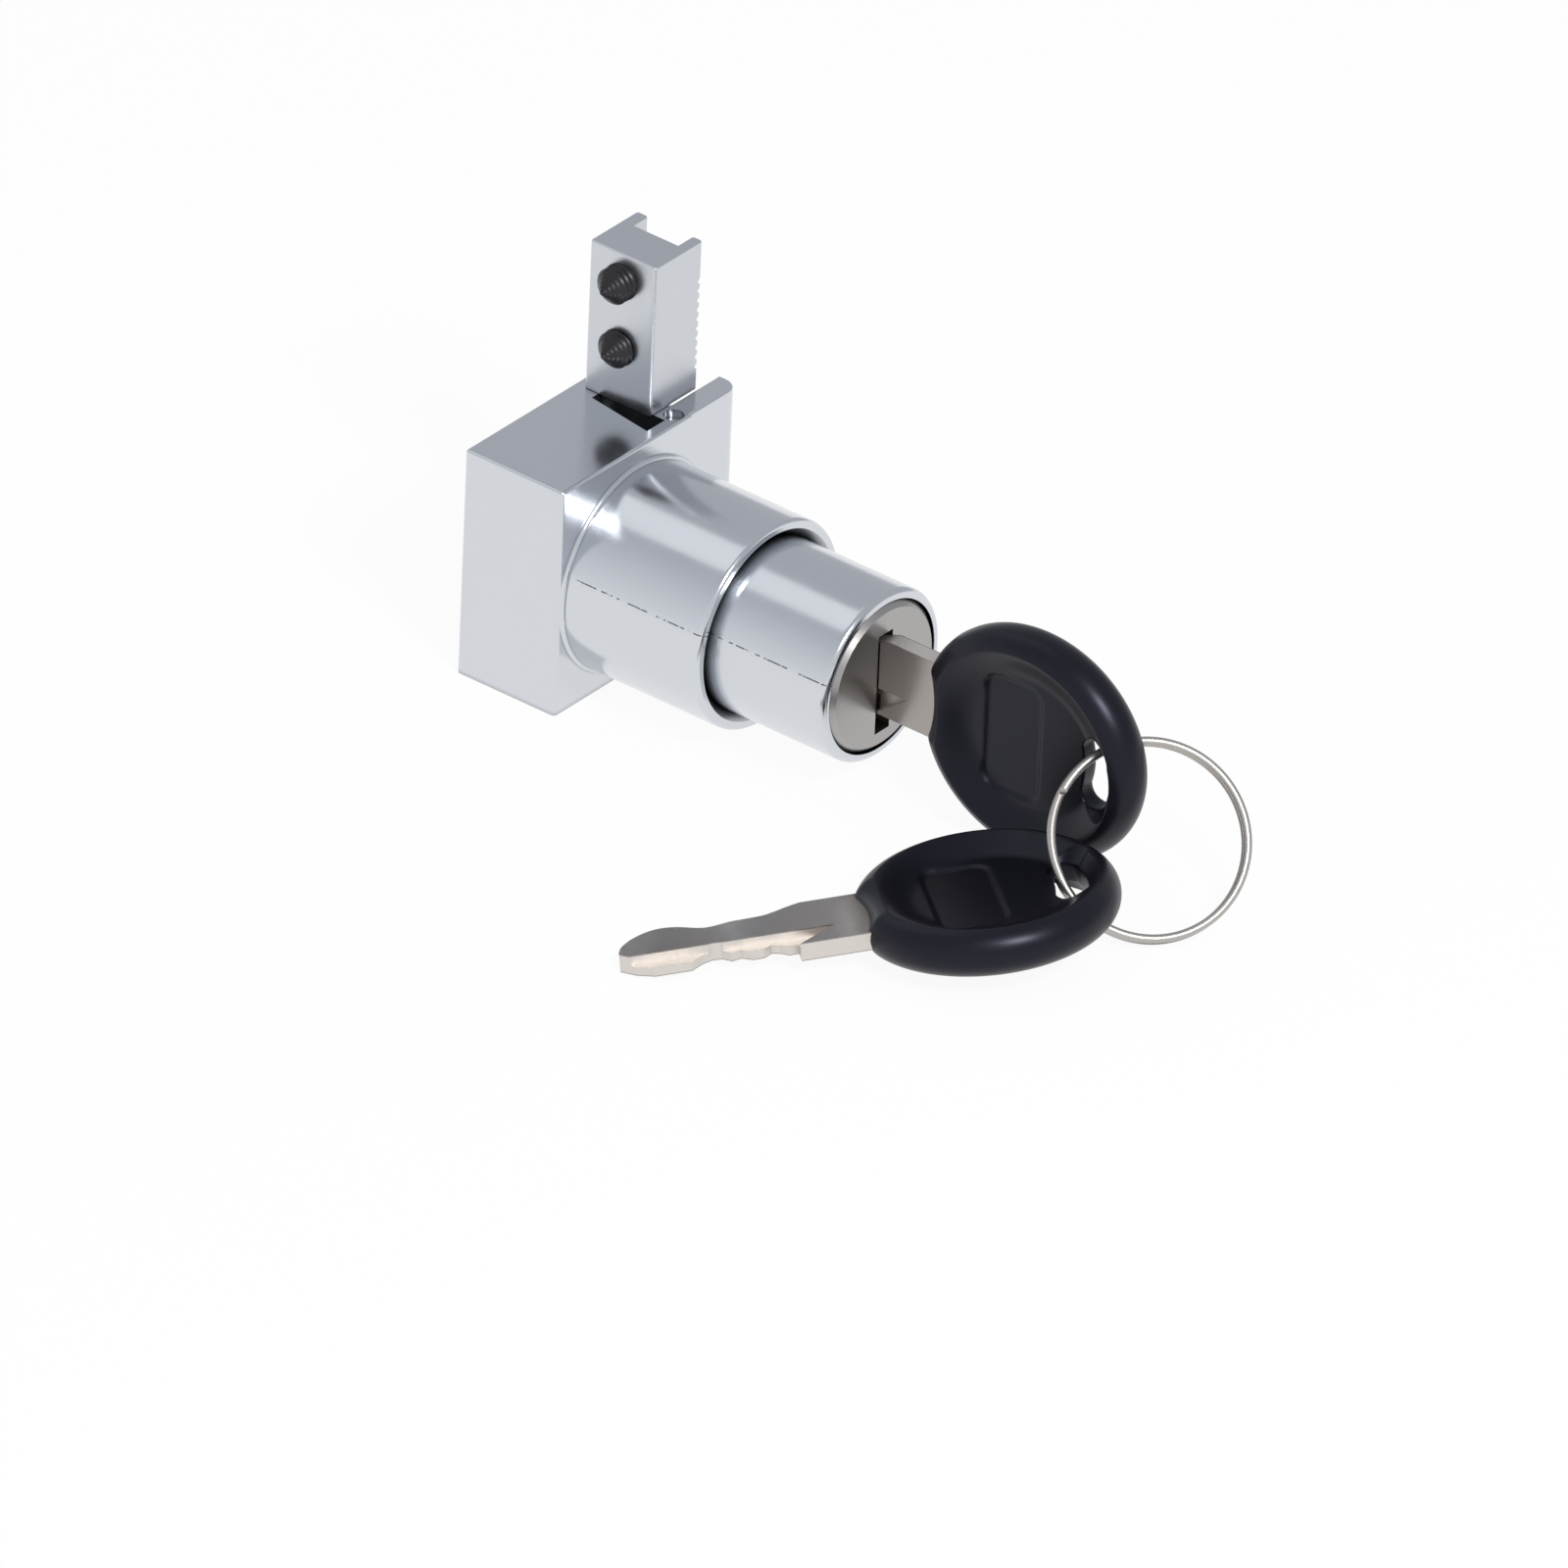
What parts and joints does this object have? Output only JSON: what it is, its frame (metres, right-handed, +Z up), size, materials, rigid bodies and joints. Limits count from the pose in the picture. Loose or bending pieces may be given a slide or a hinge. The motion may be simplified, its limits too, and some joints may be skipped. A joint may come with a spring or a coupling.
{
  "type": "cabinet push lock",
  "caption": "Cabinet push lock with a square block, a round sleeve, a push-in barrel, a screw-fixed anchor post and two keys on a ring.",
  "frame": {"origin": "middle of the block's foot, on the bench, under the barrel's axis", "axes": "+X to the right seen from the front, +Y to the back along the barrel, +Z up along the anchor post"},
  "size_m": [0.0622, 0.0894, 0.0441],
  "materials": {
    "chrome_casting": "bright chrome plate on a zinc casting",
    "satin_casting": "chrome plate over the post's rougher casting",
    "chrome_barrel": "bright chrome plate on a turned barrel",
    "satin_nickel": "satin nickel plug face",
    "key_nickel": "nickel plated key blade",
    "black_steel": "blackened steel screw",
    "bright_steel": "bright zinc plated steel",
    "spring_steel": "drawn spring wire",
    "brass": "stamped brass wafer",
    "black_plastic": "satin black moulded plastic",
    "ring_nickel": "nickel plated ring wire"
  },
  "bodies": {
    "housing": {"housing": "chrome_casting", "anchor_post": "satin_casting", "post_fixing_screw": "bright_steel", "guide_screw": "bright_steel", "return_spring": "spring_steel"},
    "plunger": {"plunger_barrel": "chrome_barrel", "locking_bolt": "bright_steel", "bolt_cross_pin": "bright_steel"},
    "plug": {"key_plug": "satin_nickel", "plug_retainer": "spring_steel"},
    "latch": {"latch": "bright_steel"},
    "wafers": {"wafer_1": "brass", "wafer_2": "brass", "wafer_3": "brass", "wafer_4": "brass", "wafer_5": "brass"},
    "inserted_key": {"inserted_key_blade": "key_nickel", "inserted_key_bow": "black_plastic"},
    "key_ring": {"key_ring": "ring_nickel"},
    "loose_key": {"loose_key_blade": "key_nickel", "loose_key_bow": "black_plastic"},
    "upper_grub_screw": {"upper_grub_screw": "black_steel"},
    "lower_grub_screw": {"lower_grub_screw": "black_steel"}
  },
  "joints": [
    {"name": "plunger_push", "type": "slide", "parent": "housing", "child": "plunger", "axis": [0, 1, 0], "range_m": [0, 0.007], "stiffness_N_per_m": 400, "springref_m": -0.004, "deforming": ["return_spring"]},
    {"name": "key_turn", "type": "hinge", "parent": "plunger", "child": "plug", "pos_m": [0, -0.03, 0.0128], "axis": [0, 1, 0], "range_deg": [0, 90]},
    {"name": "latch_throw", "type": "slide", "parent": "plunger", "child": "latch", "axis": [0, 0, 1], "range_m": [0, 0.0012]},
    {"name": "key_withdraw", "type": "slide", "parent": "plug", "child": "inserted_key", "axis": [0, -1, 0], "range_m": [0, 0.02]},
    {"name": "wafer_throw", "type": "slide", "parent": "plug", "child": "wafers", "axis": [0, 0, 1], "range_m": [0, 0.0008]},
    {"name": "ring_swing", "type": "hinge", "parent": "inserted_key", "child": "key_ring", "pos_m": [0, -0.06713, 0.01563], "axis": [-0.8872, 0.3712, -0.274], "range_deg": [0, 30]},
    {"name": "loose_key_swing", "type": "hinge", "parent": "key_ring", "child": "loose_key", "pos_m": [-0.00974, -0.07068, 0.00551], "axis": [0.0494, 0.7131, 0.6994], "range_deg": [0, 40]},
    {"name": "upper_grub_turn_in", "type": "slide", "parent": "housing", "child": "upper_grub_screw", "axis": [-1, 0, 0], "range_m": [-0.0015, 0.0015]},
    {"name": "lower_grub_turn_in", "type": "slide", "parent": "housing", "child": "lower_grub_screw", "axis": [-1, 0, 0], "range_m": [-0.0015, 0.0015]}
  ],
  "couplings": [
    {"joint": "latch_throw", "follows": "key_turn", "m_per_rad": 0.0007639},
    {"joint": "wafer_throw", "follows": "key_withdraw", "ratio": 0.04}
  ]
}
